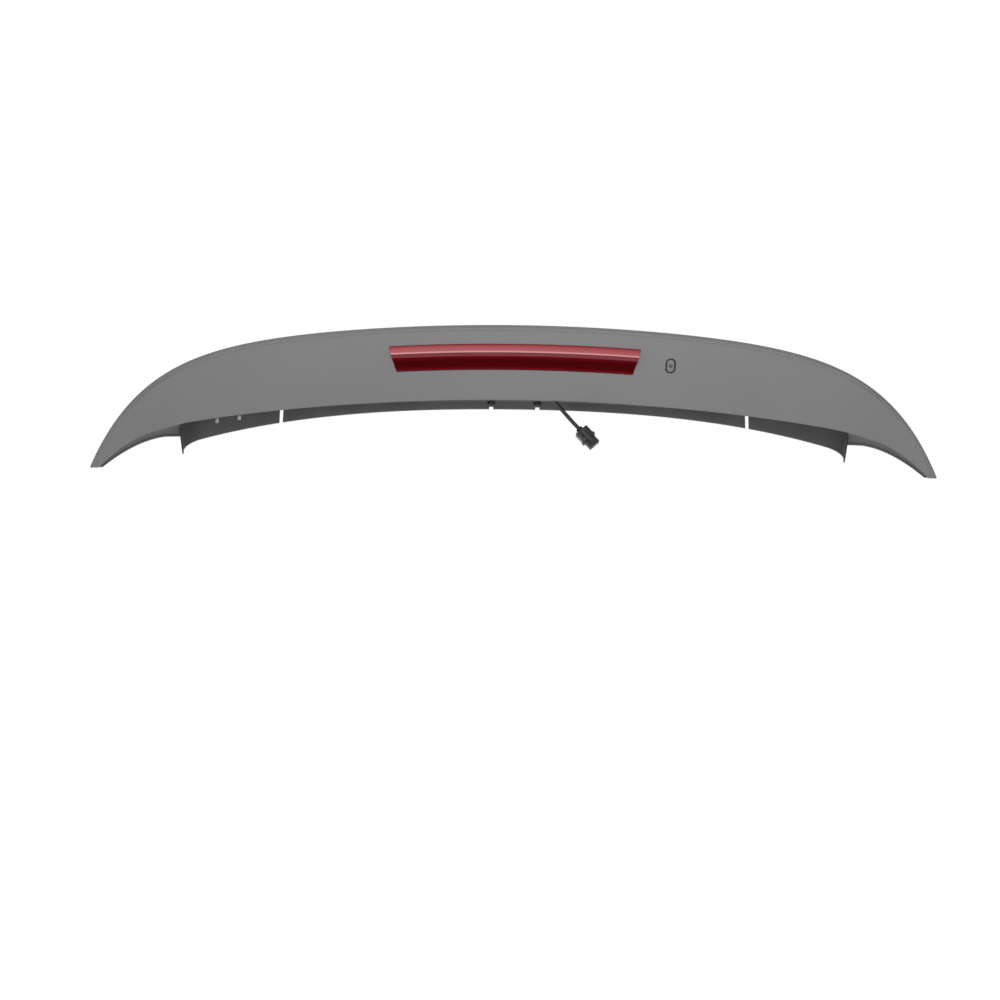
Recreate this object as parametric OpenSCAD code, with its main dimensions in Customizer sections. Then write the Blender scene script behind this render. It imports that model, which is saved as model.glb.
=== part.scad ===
// Rear spoiler for a car's tailgate, with its high brake lamp, rear washer jet and lead.
// X runs to the right, Y forward and Z up, as the part sits on the car.
// The origin lies midway between the two inner fixing inserts, on their seat plane.

/* [Blade] */
// Width over the two outer tips
span = 1260; // [1160:10:1360]
// Reach of the trailing edge behind the inner fixings, at the centre
rear_reach = 142; // [136:2:156]
// Height of the trailing edge over the fixing seats, at the centre
rear_rise = 57; // [54:1:62]
// Reach of the leading edge in front of the inner fixings, at the centre
front_reach = 56; // [50:1:62]
// Height of the roof line over the fixing seats
roof_rise = 13.9; // [12.5:0.1:16]
// Rise of the roof line for each mm forward
roof_slope = 0.135; // [0.12:0.005:0.15]
// Drop of the trailing edge from the centre to a tip
tip_fall = 122; // [114:1:130]
// Sweep of the trailing edge from the centre to a tip
tip_sweep = 264; // [254:2:276]
// Sweep of the leading edge from the centre to the side
lead_sweep = 110; // [102:2:118]
// Camber of the roof line from the centre to a tip
camber = 25; // [20:1:30]
// Extra drop of the skin over each end
end_drop = 73; // [66:1:80]
// Width over which each end drops
end_width = 100; // [94:1:110]

/* [Horns] */
// Width of a horn and its side skirt, from its inner side to the tip
horn_w = 123; // [117:1:129]
// Reach of a horn's front edge in front of the tip
horn_reach = 69; // [62:1:74]
// Flat width of a horn's front edge
horn_flat = 29; // [24:1:34]
// Radius of the corner between the leading edge and a horn
corner_r = 42; // [36:1:46]
// Radius of the nose at a horn's inner corner
nose_r = 6; // [4:0.5:8]
// Width of the flat end of a tip
tip_w = 24; // [20:1:28]

/* [Walls and edges] */
// Wall of the top skin
top_wall = 2.8; // [2.4:0.1:3.2]
// Wall of the lower skin
low_wall = 2.5; // [2.2:0.1:2.8]
// Bevel along every edge of the top skin
edge_bevel = 1.2; // [0.8:0.1:1.6]
// Thickness of the return that hangs from the leading edge
return_t = 2.6; // [2.2:0.1:3]
// Depth of that return at the centre
return_depth = 15; // [13:0.5:17]
// Depth that it gains up to the horns
return_gain = 29; // [22:1:32]
// How far a horn's inner wall leans inwards, for each mm that it hangs
return_lean = 0.2; // [0:0.02:0.24]
// Depth of the return round a horn's front and side
side_return = 7; // [6.5:0.5:9]
// Place of the slits in the return, from the centre
slit_x = 346; // [320:2:360]
// Width of a slit
slit_w = 5; // [4:0.5:7]
// Place of the locating notches in the return, from the centre
notch_x = 34; // [30:1:40]
// Width of a locating notch
notch_w = 6; // [5:0.5:9]
// Height of a locating notch
notch_h = 4; // [3:0.5:6]

/* [Lower skin] */
// Distance from the leading edge back to the front edge of the lower skin
low_setback = 98; // [94:1:104]
// Depth of that front edge under the top skin, at the centre
low_depth = 42; // [40:1:46]
// Depth that it gains before the horns
low_gain = 12; // [8:1:14]
// Outward crown of the lower skin
low_crown = 4; // [3:0.5:5]
// Height of the lip folded up along its front edge
fold_h = 7; // [5:0.5:9]
// Place of the outer edge clip, inwards from the horn's inner side
clip_from_horn = 75; // [60:1:90]
// Distance between the two edge clips
clip_pitch = 33; // [24:1:44]
// Width of an edge clip
clip_w = 5; // [4:0.5:7]

/* [Brake lamp] */
// Length of the lens
lens_len = 356; // [330:2:370]
// Height of the lens along the face
lens_h = 41; // [39:0.5:42]
// Wall of the lens
lens_t = 2.2; // [1.8:0.1:2.5]
// How much shorter each end of the lens is along its lower edge
end_slant = 10; // [0:1:16]
// Width of the flat band along the lens's brow
brow_w = 6; // [3:0.5:8]
// How far the lens stands out of the face
lens_out = 10; // [8.5:0.5:11]
// Gap round the lens in the face
lens_gap = 1; // [0.6:0.1:1.5]
// Width of the flange round the housing
flange_w = 4; // [3.4:0.2:4.4]
// Thickness of that flange
flange_t = 1.6; // [1.4:0.1:1.8]
// Thickness of the gasket on it
gasket_t = 1.2; // [1:0.1:1.4]
// Depth of the housing at its rear side
back_rear = 7.6; // [7.4:0.1:8]
// Depth of the housing at its front side
back_front = 17.2; // [16.6:0.1:17.6]
// Number of diodes
diode_count = 16; // [10:1:20]
// Length of one diode's package
diode_w = 3.5; // [2.8:0.1:5]
// Distance from the lens's end to the first diode
diode_margin = 18; // [10:1:24]
// Thickness of the board
board_t = 1.2; // [1:0.1:1.6]
// Shank radius of the lamp's screws
screw_r = 1.75; // [1.5:0.05:2]
// Place of the front screws, from the centre
screw_x = 75; // [65:1:90]

/* [Fixings] */
// Half spacing of the inner fixings
inner_x = 120; // [112:2:130]
// Half spacing of the middle fixings
mid_x = 300; // [290:2:312]
// Half spacing of the outer fixings
outer_x = 440; // [430:2:446]
// Radius of the threaded bore
insert_bore = 2.5; // [2:0.1:3.2]
// Outer radius of an insert
insert_r = 4.5; // [4.1:0.1:5]
// Length of an insert
insert_len = 9; // [8:0.5:9.5]
// Outer radius of a fixing boss
boss_r = 8; // [7:0.25:9]
// Width of the carrier strip
carrier_w = 34; // [30:1:36]
// Wall of the carrier strip
carrier_t = 2.2; // [1.8:0.1:2.6]
// Depth of its two side ribs
carrier_rib = 6; // [5:0.5:8]

/* [Lead and plug] */
// Radius of the lead
lead_r = 2.8; // [2.2:0.1:3]
// Place of the lead's gland, from the centre
gland_x = 30; // [20:1:40]
// Radius of the gland's flange
gland_r = 4.6; // [4.2:0.1:5]
// Length of the plug's body
plug_len = 30; // [26:1:36]
// Width of the plug's body
plug_w = 20; // [17:0.5:24]
// Thickness of the plug's body
plug_t = 13; // [11:0.5:16]

/* [Washer jet] */
// Distance from the lens's end to the jet
jet_from_lens = 44; // [40:1:60]
// Width of the oval opening
jet_w = 15; // [13:0.5:17]
// Length of the oval opening
jet_l = 25; // [22:0.5:28]
// Dark gap left round the jet's cap
jet_gap = 2.8; // [2:0.1:3.2]
// Radius of the jet's ball
ball_r = 2.2; // [1.8:0.1:2.4]

/* [Hidden] */
primer = "#858686";
half = span / 2;
horn_x = half - horn_w;
fit_gap = 0.2;
lip_h = 1.3 * top_wall + 1.25 * low_wall + 1.1;
bond_gap = 0.3;
jet_x = lens_len / 2 + jet_from_lens;
cut_over = 1;
$fn = 48;

// Plan outline. Each curve serves both halves, and inset moves it inwards.

function share(x) = min(1, abs(x) / half);
function mix(a, b, t) = a + (b - a) * t;
function lip(x) = lip_h * (1 + 0.25 * share(x) ^ 8);
function trail_y(x) = let (u = share(x)) tip_sweep * (0.42 * u ^ 2 + 0.58 * u ^ 7.2) - rear_reach;
function trail_in(x, inset) =
    trail_y(x) + inset * sqrt(1 + (trail_y(abs(x)) - trail_y(abs(x) - 1)) ^ 2);
function lead_base(x) = let (u = share(x)) front_reach + lead_sweep * (u ^ 2 + 0.32 * u ^ 6);
function lead_y(x, inset) =
    let (r = corner_r + inset, past = min(r, max(0, abs(x) - horn_x + corner_r)))
    lead_base(x) - inset + r - sqrt(r ^ 2 - past ^ 2);
tip_y = tip_sweep - rear_reach + tip_w / 2;
function side_y(x, inset) =
    let (
        from_side = abs(x) - horn_x - inset,
        past = min(1, max(0, abs(x) - horn_x - horn_flat) / (horn_w - horn_flat)),
        nose = min(nose_r, max(0, nose_r - from_side))
    )
    tip_y + tip_w / 2 + horn_reach * (1 - past ^ 1.7) - inset * (1 + 0.6 * past)
    + 0.17 * max(0, horn_flat - from_side) - nose_r + sqrt(nose_r ^ 2 - nose ^ 2);

// Heights of the top skin's outer and inner surfaces

function roof_z(x, y) =
    let (past = max(0, abs(x) - half + end_width) / end_width)
    roof_rise + roof_slope * y - camber * share(x) ^ 2 - end_drop * past ^ 1.9;
function trail_z(x) = let (u = share(x)) rear_rise - tip_fall * (0.25 * u ^ 2 + 0.75 * u ^ 7);
function top_z(x, y) =
    let (
        rear = trail_y(x),
        t = min(1.05, max(0, (lead_base(x) - y) / (lead_base(x) - rear)))
    )
    roof_z(x, y) + (trail_z(x) - roof_z(x, rear)) * t ^ 2;
function stretch(x, y) =
    sqrt(1 + (top_z(x + 1, y) - top_z(x, y)) ^ 2 + (top_z(x, y + 1) - top_z(x, y)) ^ 2);
function under_z(x, y) = top_z(x, y) - top_wall * stretch(abs(x) - 1, y);

// Columns across the span: the blade, the rounded corner, then the horn

blade_cols = 11;
corner_cols = 5;
horn_steps = [0.02, 0.05, 0.12, 0.23, 0.34, 0.45, 0.56, 0.67, 0.77, 0.86, 0.94, 1];
side_cols = blade_cols + corner_cols + len(horn_steps);
function half_column(n, inset) =
    n <= blade_cols ? (horn_x - corner_r) * n / blade_cols
    : n <= blade_cols + corner_cols
    ? horn_x - corner_r + (corner_r + inset) * sin(90 * (n - blade_cols) / corner_cols)
    : horn_x + inset + (horn_w - 2 * inset) * horn_steps[n - blade_cols - corner_cols - 1];
function column(i, inset) = sign(i - side_cols) * half_column(abs(i - side_cols), inset);

// A sheet between a stack of point grids, first the outer face and last the inner one.
// Grids in between shape the rim. Rows past low_rows exist only in wing columns at each end.

function quad(a, b, c, d) = [[a, b, c], [a, c, d]];
module sheet(grids, low_rows = 1000, wing = 0) {
    cols = len(grids[0]);
    rows = len(grids[0][0]);
    last = len(grids) - 1;
    function at(g, i, j) = (g * cols + i) * rows + j;
    function live(i, j) =
        i >= 0 && j >= 0 && i < cols - 1 && j < rows - 1
        && (j < low_rows || i < wing || i >= cols - 1 - wing);
    function rim(i, j, k, m) = [
        for (g = [0:last - 1])
            each quad(at(g, i, j), at(g, k, m), at(g + 1, k, m), at(g + 1, i, j))
    ];
    points = [for (grid = grids) for (column = grid) each column];
    faces = [
        for (i = [0:cols - 2])
            for (j = [0:rows - 2])
                if (live(i, j))
                    each concat(
                        quad(at(0, i, j), at(0, i, j + 1), at(0, i + 1, j + 1), at(0, i + 1, j)),
                        quad(
                            at(last, i, j), at(last, i + 1, j),
                            at(last, i + 1, j + 1), at(last, i, j + 1)
                        ),
                        live(i, j - 1) ? [] : rim(i, j, i + 1, j),
                        live(i + 1, j) ? [] : rim(i + 1, j, i + 1, j + 1),
                        live(i, j + 1) ? [] : rim(i + 1, j + 1, i, j + 1),
                        live(i - 1, j) ? [] : rim(i, j + 1, i, j)
                    )
    ];
    polyhedron(points, faces);
}

// Top skin: a double-curved blade with a kicked-up tail, two horns and a return all round

blade_rows = 8;
horn_rows = 4;
function skin_y(x, inset, j) =
    let (
        out = abs(x) >= horn_x,
        q = min(1, (abs(x) - horn_x - inset) / (horn_w - 2 * inset)),
        split = out ? mix(lead_base(horn_x) + corner_r, tip_y, max(0, q)) : lead_y(x, inset)
    )
    j <= blade_rows ? mix(trail_in(x, inset), split, j / blade_rows)
    : out ? mix(split, side_y(x, inset), (j - blade_rows) / horn_rows) : split;
function hang(x, j) =
    let (side = (j - blade_rows) / horn_rows, lead = return_gain * (share(x) / 0.8) ^ 3)
    j == 0 ? lip(x)
    : abs(x) < horn_x - 0.001 ? return_depth + lead
    : abs(x) < horn_x + 0.001 ? mix(return_depth + lead, side_return, side)
    : side_return;
function lean(x, j) =
    let (
        bend = min(1, max(0, abs(x) - horn_x + corner_r) / corner_r),
        extra = abs(x) < horn_x + return_t + 0.01 ? max(0, hang(min(abs(x), horn_x), j) - side_return) : 0
    )
    j < blade_rows ? 0 : sign(x) * return_lean * extra * bend ^ 2;
function lip_slope(x) = let (chord = low_chord(x)) min(0.8, max(0, -chord[1] / chord[0]));
function foot_z(x, i, j) = rim_z(i, j, false) + (j == 0 ? return_t * lip_slope(x) : 0);
function skin_grid(inset, place) = [
    for (i = [0:2 * side_cols])
        let (x = column(i, inset))
        [for (j = [0:blade_rows + horn_rows]) place(x, skin_y(x, inset, j), i, j)]
];
function rim_z(i, j, bevel) =
    let (x = column(i, 0), drop = bevel ? edge_bevel : hang(x, j))
    top_z(x, skin_y(x, 0, j)) - drop;

module top_shell() {
    sheet(
        [
            skin_grid(edge_bevel, function(x, y, i, j) [x, y, top_z(x, y)]),
            skin_grid(0, function(x, y, i, j) [x, y, rim_z(i, j, true)]),
            skin_grid(0, function(x, y, i, j) [x - lean(x, j), y, foot_z(x, i, j)]),
            skin_grid(return_t, function(x, y, i, j) [x - lean(x, j), y, rim_z(i, j, false)]),
            skin_grid(return_t, function(x, y, i, j) [x, y, under_z(x, y)])
        ],
        blade_rows, len(horn_steps)
    );
}

function return_foot(x) = top_z(x, lead_base(x)) - hang(x, blade_rows);

module return_cut(x, width, height) {
    foot = return_foot(x) - cut_over;
    translate([x - width / 2, lead_base(x) - 2 * return_t - cut_over, foot])
        cube([width, 3 * return_t + 2 * cut_over, height + cut_over]);
}

module top_skin() {
    color(primer)
        difference() {
            top_shell();
            for (side = [-1, 1]) {
                return_cut(side * slit_x, slit_w, hang(slit_x, blade_rows) - top_wall - edge_bevel);
                return_cut(side * notch_x, notch_w, notch_h);
            }
        }
}

// Lower skin: closes the blade from the trailing lip down to a folded front edge

low_turn_in = 27;
low_turn = horn_x - low_turn_in;
function low_past(x) = max(0, abs(x) - low_turn) / (half - low_turn);
function low_front_y(x) =
    let (plain = front_reach - low_setback)
    plain + lead_sweep * share(x) ^ 2 + (tip_y - plain - lead_sweep) * low_past(x) ^ 1.4;
function low_front_z(x) =
    let (depth = low_depth + low_gain * share(x) ^ 2 - low_depth * low_past(x) ^ 2.2)
    top_z(x, low_front_y(x)) - depth;
seam_in = return_t + fit_gap;
function low_rear(x) = [trail_in(x, seam_in), top_z(x, trail_y(x)) - lip(x)];
function low_chord(x) = [low_front_y(x), low_front_z(x)] - low_rear(x);
function low_point(x, v) =
    let (
        chord = low_chord(x),
        out = [chord[1], -chord[0]] / norm(chord),
        bulge = low_crown * (1 - share(x) ^ 4) * 4 * v * (1 - v)
    )
    low_rear(x) + chord * v + out * bulge;
function low_lift(x) =
    let (chord = low_chord(x), dx = top_z(abs(x), tip_y) - top_z(abs(x) - 1, tip_y))
    low_wall * sqrt(1 + (chord[1] / chord[0]) ^ 2 + dx ^ 2);
low_rows = 6;
function low_column(x, inner) =
    let (
        lift = inner ? low_lift(x) : 0,
        foot = low_point(x, 1),
        back = inner ? low_wall + 0.4 : 0
    )
    [
        for (j = [0:low_rows - 1])
            let (p = low_point(x, j / low_rows))
            [x, p[0], p[1] + lift],
        [x, foot[0] - back, foot[1] + (inner ? lift + back * 0.6 : 0)],
        [x, foot[0] + 1.6 - back, foot[1] + (inner ? lift + 1.6 : 1)],
        [x, foot[0] + 2.4 - low_wall * (inner ? 1 : 0), foot[1] + fold_h]
    ];

module low_shell() {
    last = 2 * side_cols;
    order = [for (i = [0:last]) column(last - i, seam_in)];
    sheet([[for (x = order) low_column(x, false)], [for (x = order) low_column(x, true)]]);
}

module low_bosses(bore) {
    for (p = screw_places)
        lamp_place(p[0], p[1])
            if (bore)
                translate([0, 0, -boss_top - cut_over])
                    cylinder(r = screw_r - 0.25, h = boss_top + cut_over - 1.5);
            else
                translate([0, 0, -boss_top])
                    cylinder(r = screw_r + 2.2, h = boss_top - 1.6);
}

module lower_skin() {
    color(primer)
        difference() {
            union() {
                low_shell();
                low_bosses(false);
            }
            low_bosses(true);
            lamp_bar(lens_len / 2 + lens_gap, 8, lens_h / 2 + lens_gap, [-8, 8]);
            jet_place()
                translate([0, 0, -jet_depth])
                    oval(jet_w, jet_l, 2 * jet_depth);
        }
}

// Lamp frame: a runs down the face and b out of it, along a line that follows the face

lamp_v = 0.36;
lamp_dv = lens_h / 2 / norm(low_chord(0));
function lamp_line(x) = (low_point(x, lamp_v - lamp_dv) + low_point(x, lamp_v + lamp_dv)) / 2;
lamp_step = low_point(0, lamp_v + lamp_dv) - low_point(0, lamp_v - lamp_dv);
run_a = lamp_step / norm(lamp_step);
run_b = [run_a[1], -run_a[0]];
lamp_tilt = atan2(-run_b[0], run_b[1]);
function lamp_at(x, a, b) =
    let (p = lamp_line(x) + a * run_a + b * run_b)
    [x, p[0], p[1]];
function slanted(x, a) =
    x * (1 - 2 * end_slant / lens_len * min(1, max(0, (a + lens_h / 2) / lens_h)));
module lamp_place(x, a) {
    translate(lamp_at(x, a, 0))
        rotate([lamp_tilt, 0, 0])
            children();
}

// A closed bar along the lamp, from -reach to reach, of half height a and depths b
module lamp_bar(reach, steps, a, b) {
    function side(x, depth) = [for (k = [-2:2]) lamp_at(slanted(x, -a * k / 2), -a * k / 2, depth)];
    places = [for (i = [0:steps]) reach * (2 * i / steps - 1)];
    sheet([[for (x = places) side(x, b[1])], [for (x = places) side(x, b[0])]]);
}

// A tray along the lamp: outer and inner sections, with end walls down to the rim's level
module lamp_tray(reach, wall, outer, inner, steps) {
    level = outer[0][1];
    function stations(end) = [
        for (i = [-1:steps + 1])
            let (place = end * (2 * min(steps, max(0, i)) / steps - 1))
            [place, i < 0 || i > steps]
    ];
    function ring(end, section) = [
        for (s = stations(end))
            [for (p = section) lamp_at(slanted(s[0], p[0]), p[0], s[1] ? level : p[1])]
    ];
    sheet([ring(reach, outer), ring(reach - wall, inner)]);
}

skin_play = 0.45;
seat = low_wall + skin_play + gasket_t;
lens_a = lens_h / 2;
lens_run = (lens_out - 0.4 + 0.8) / -run_b[1];
brow = [-lens_a - run_a[1] * lens_run, lens_out - 0.4];
lens_wall_dir = [run_a[0], run_b[0]] * lens_t;

module lamp_lens() {
    foot = 0.03 - seat;
    outer = [
        [lens_a, foot], [lens_a, -0.5], brow + [brow_w, 0], brow, [-lens_a, -0.8], [-lens_a, foot]
    ];
    inner = [
        [lens_a - lens_t, foot], [lens_a - lens_t, -0.5 - lens_t],
        brow + [brow_w - 0.4, -lens_t], brow + lens_wall_dir + [0.3, -0.6],
        [-lens_a, -0.8] + lens_wall_dir, [-lens_a + lens_t, foot]
    ];
    color("#7a0812")
        lamp_tray(lens_len / 2, lens_t, outer, inner, 12);
}

tray_t = 2.4;
tray_a = lens_a + 0.3;
floor_rear = back_rear;
floor_front = back_front;
heel = 8.5;
wall_foot = [tray_a, -seat - flange_t - 0.9];
wall_drop = (floor_front - seat - flange_t - 0.9) / -run_b[1];
wall_top = wall_foot + [run_a[1], run_b[1]] * wall_drop;
gland_level = 0.5;

module housing_tray() {
    lip = tray_a + flange_w;
    under = -seat - flange_t;
    outer = [
        [-lip, -seat], [-lip, under], [-tray_a, under], [-tray_a, -floor_rear],
        [heel, -floor_front], wall_top, wall_foot, [tray_a, under], [lip, under], [lip, -seat]
    ];
    in_a = tray_a - tray_t;
    inner = [
        [-in_a, -seat], [-in_a, -seat - 0.6], [-in_a, under], [-in_a, -floor_rear + tray_t * 0.6],
        [heel - 0.4, -floor_front + tray_t], wall_top + [-0.54, 1] * tray_t, wall_foot + [-tray_t, 0.3],
        [in_a, under + 0.3], [in_a, -seat - 0.6], [in_a, -seat]
    ];
    lamp_tray(lens_len / 2 + 0.3, tray_t, outer, inner, 12);
}

boss_top = low_wall + 4;
lug_t = 2;
lug_len = 14;
end_screw = lens_len / 2 + lug_len;
front_screw = lens_a + 11;
screw_places = [[-end_screw, 2], [end_screw, 2], [-screw_x, front_screw], [screw_x, front_screw]];

module housing_lugs() {
    depth = -boss_top - fit_gap - lug_t;
    lug_reach = lug_len + end_slant * 0.55 + tray_t / 2;
    for (side = [-1, 1]) {
        lamp_place(side * end_screw, 2)
            translate([0, 0, depth]) {
                cylinder(r = screw_r + 3, h = lug_t);
                translate([side > 0 ? -lug_reach : 0, -4, 0])
                    cube([lug_reach, 8, lug_t]);
            }
        lamp_place(side * screw_x, front_screw)
            translate([0, 0, depth]) {
                cylinder(r = screw_r + 3, h = lug_t);
                translate([-4, 0, 0])
                    cube([8, front_screw - tray_a + 1.6, lug_t]);
            }
    }
}

module lamp_housing() {
    color("#26272a")
        difference() {
            union() {
                housing_tray();
                housing_lugs();
            }
            for (p = screw_places)
                lamp_place(p[0], p[1])
                    translate([0, 0, -boss_top - lug_t - 2 * cut_over])
                        cylinder(r = screw_r + 0.2, h = lug_t + 3 * cut_over);
            gland_place()
                translate([0, 0, -8])
                    cylinder(r = gland_r - 1.1 + fit_gap / 4, h = 16);
        }
}

// Board on the housing's upright front wall, with its diodes facing back

board_h = wall_drop - 3;
function wall_point(drop, off) =
    wall_foot + [run_a[1], run_b[1]] * drop + [-run_a[0], -run_b[0]] * (tray_t + fit_gap + off);

module lamp_board() {
    low = 1;
    function face(off) = [
        for (i = [0:16])
            let (
                x = slanted((lens_len / 2 - 2 * tray_t) * (i / 8 - 1), lens_a),
                foot = wall_point(low, off),
                head = wall_point(low + board_h, off)
            )
            [lamp_at(x, foot[0], foot[1]), lamp_at(x, head[0], head[1])]
    ];
    color("#1f5b34")
        sheet([face(board_t), face(0)]);
}

module lamp_diodes() {
    pitch = (lens_len - 2 * end_slant - 2 * diode_margin) / (diode_count - 1);
    mid = wall_point(1 + board_h / 2, board_t);
    color("#e9e4c8")
        for (i = [0:diode_count - 1]) {
            x = pitch * (i - (diode_count - 1) / 2);
            ahead = lamp_at(x + 1, 0, 0) - lamp_at(x, 0, 0);
            translate(lamp_at(x, mid[0], mid[1]))
                rotate([0, 0, atan2(ahead[1], ahead[0])])
                    translate([-diode_w / 2, -1.6, -1.4])
                        cube([diode_w, 1.6 - 0.02, 2.8]);
        }
}

module lamp_reflector() {
    rear = [-tray_a + tray_t + 0.6, -floor_rear + tray_t + 0.5];
    front = [heel - 2.5, -floor_front + tray_t + 1.4];
    function section(lift) = [
        for (k = [0:5])
            let (t = k / 5)
            mix(rear, front, t) + [0, lift - 1.2 * sin(180 * t)]
    ];
    function patch(lift) = [
        for (i = [0:24])
            let (x = (lens_len / 2 - 2 * tray_t - 1) * (i / 12 - 1))
            [for (p = section(lift)) lamp_at(slanted(x, p[0]), p[0], p[1])]
    ];
    color("#cfd2d4")
        sheet([patch(0.4), patch(1.4)]);
}

module lamp_gasket() {
    outer = tray_a + flange_w - 0.3;
    inner = lens_a + lens_gap + 0.1;
    color("#3a3a3c")
        difference() {
            lamp_bar(lens_len / 2 + 0.3 + 2.2, 12, outer, [0.02 - seat, -low_wall - skin_play]);
            lamp_bar(lens_len / 2 + 0.6, 12, inner, [-seat - cut_over, 0]);
        }
}

module lamp_screws() {
    head_r = screw_r * 1.9;
    head_h = screw_r * 1.2;
    seat_b = boss_top + fit_gap + lug_t;
    color("#9a9ca0")
        for (p = screw_places)
            lamp_place(p[0], p[1])
                translate([0, 0, -seat_b - head_h])
                    difference() {
                        union() {
                            cylinder(r = head_r, h = head_h - 0.02);
                            cylinder(r = screw_r - 0.3, h = head_h + seat_b - 2.4);
                        }
                        translate([0, 0, -cut_over])
                            cylinder(r = screw_r * 0.9, h = cut_over + head_h * 0.6, $fn = 6);
                    }
}

// Inner carrier: a ribbed strip bonded under the top skin, with a boss for each fixing

function fix_y(x) = lead_base(x) - lead_base(inner_x);
function plate_z(x, y) = under_z(x, y) - bond_gap;
boss_drop = plate_z(inner_x, 0);
function seat_z(x) = plate_z(x, fix_y(x)) - boss_drop;
fixings = [for (side = [-1, 1]) for (x = [inner_x, mid_x, outer_x]) side * x];
carrier_over = 26;
carrier_end = outer_x + carrier_over;

module carrier_strip() {
    w = carrier_w / 2;
    t = carrier_t;
    top = [[-w, -carrier_rib], [-w, 0], [-w / 3, 0], [w / 3, 0], [w, 0], [w, -carrier_rib]];
    under = [
        [-w + t, -carrier_rib], [-w + t, -t], [-w / 3, -t], [w / 3, -t], [w - t, -t],
        [w - t, -carrier_rib]
    ];
    function ring(section) = [
        for (i = [-22:22])
            let (x = carrier_end * i / 22, y = fix_y(x))
            [for (p = section) [x, y + p[0], plate_z(x, y + p[0]) + p[1]]]
    ];
    sheet([ring(top), ring(under)]);
}

// A post under the carrier's plate, whose top lies inside the plate
module post(x, outline, foot) {
    y = fix_y(x);
    n = len(outline);
    upper = [for (p = outline) [x + p[0], y + p[1], plate_z(x + p[0], y + p[1]) - carrier_t / 2]];
    lower = [for (p = outline) [x + p[0], y + p[1], foot]];
    hubs = [[x, y, plate_z(x, y) - carrier_t / 2], [x, y, foot]];
    faces = [
        for (i = [0:n - 1])
            let (k = (i + 1) % n)
            each [[2 * n, k, i], [2 * n + 1, n + i, n + k], [i, k, n + k], [i, n + k, n + i]]
    ];
    polyhedron(concat(upper, lower, hubs), faces);
}

module inner_carrier() {
    facets = 24;
    ring = [for (i = [0:facets - 1]) boss_r * [cos(360 * i / facets), sin(360 * i / facets)]];
    long = carrier_w / 2 - carrier_t / 2;
    web = [
        for (k = [-3:3]) [carrier_t / 2, long * k / 3],
        for (k = [-3:3]) [-carrier_t / 2, -long * k / 3]
    ];
    color("#4a4b4d")
        difference() {
            union() {
                carrier_strip();
                for (x = fixings) {
                    post(x, ring, seat_z(x) + fit_gap);
                    post(x, web, seat_z(x) + boss_drop / 2);
                }
            }
            for (x = fixings)
                translate([x, fix_y(x), seat_z(x) - cut_over])
                    cylinder(r = insert_r + 0.02, h = insert_len + cut_over + fit_gap);
        }
}

module threaded_inserts() {
    color("#b9964a")
        for (x = fixings)
            translate([x, fix_y(x), seat_z(x)])
                rotate_extrude()
                    polygon([
                        [insert_bore, 0], [insert_r, 0], [insert_r, insert_len * 0.4],
                        [insert_r - 0.5, insert_len * 0.46], [insert_r - 0.5, insert_len * 0.6],
                        [insert_r, insert_len * 0.66], [insert_r, insert_len],
                        [insert_bore, insert_len]
                    ]);
}

module centre_clips() {
    wide = notch_w + 5;
    clip_t = 2.4;
    over_notch = 3;
    color("#1d1d1f")
        for (side = [-1, 1]) {
            x = side * notch_x;
            foot = return_foot(x) + notch_h + over_notch;
            room = under_z(x, lead_base(x) - 6) - bond_gap - foot;
            translate([x, lead_base(x) - return_t - fit_gap - 0.1, foot]) {
                translate([-wide / 2, -clip_t, 0])
                    cube([wide, clip_t, room]);
                translate([-wide / 4, -clip_t - 2.2, room - 2])
                    cube([wide / 2, 2.2, 2]);
            }
        }
}

// Plated spring clips on the left of the lower skin's front fold, with tongues that hang down
module edge_clips() {
    clip_t = 0.9;
    outer_clip = -horn_x + clip_from_horn;
    color("#c9c9c4")
        for (x = [outer_clip, outer_clip + clip_pitch]) {
            foot = low_point(x, 1);
            head = max(low_point(x - 3, 1)[1], low_point(x + 3, 1)[1]) + fold_h + 0.2;
            turn = atan2(low_front_y(x + 1) - low_front_y(x - 1), 2);
            translate([x, foot[0] + 2.4 + 0.35, 0])
                rotate([0, 0, turn])
                    translate([-clip_w / 2, 0, 0]) {
                        translate([0, 0, foot[1] - 6])
                            cube([clip_w, clip_t, head - foot[1] + 6 + clip_t]);
                        translate([0, -low_wall - 1.2, head])
                            cube([clip_w, low_wall + 1.2 + clip_t, clip_t]);
                    }
        }
}

// Lead: out of a gland in the lamp's front wall, over the cavity and down to the plug

wall_mid = wall_point(1 + board_h / 2, -fit_gap - tray_t);
gland_at = lamp_at(gland_x, wall_mid[0], wall_mid[1]);
module gland_place() {
    translate(gland_at)
        rotate([-90, 0, 0])
            children();
}

gland_out = 7;
module lead_gland() {
    color("#1c1c1e")
        gland_place()
            rotate_extrude()
                polygon([
                    [0, -tray_t + 0.4], [gland_r - 1.1, -tray_t + 0.4], [gland_r - 1.1, 0.2],
                    [gland_r, 0.2], [gland_r, 1.6], [lead_r + 1, 2.2], [lead_r + 0.6, gland_out],
                    [0, gland_out]
                ]);
}

lead_path = [
    gland_at + [0, gland_out, 0],
    [31, -65, 15], [35, -55, 13], [40, -45, 7], [47, -36, 0], [55, -29, -9],
    [64, -24, -19], [74, -21, -30], [84, -19, -41], [93, -19, -51]
];
lead_sides = 8;
function along(i) =
    let (a = lead_path[max(0, i - 1)], b = lead_path[min(len(lead_path) - 1, i + 1)])
    i == 0 ? [0, 1, 0] : (b - a) / norm(b - a);

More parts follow.
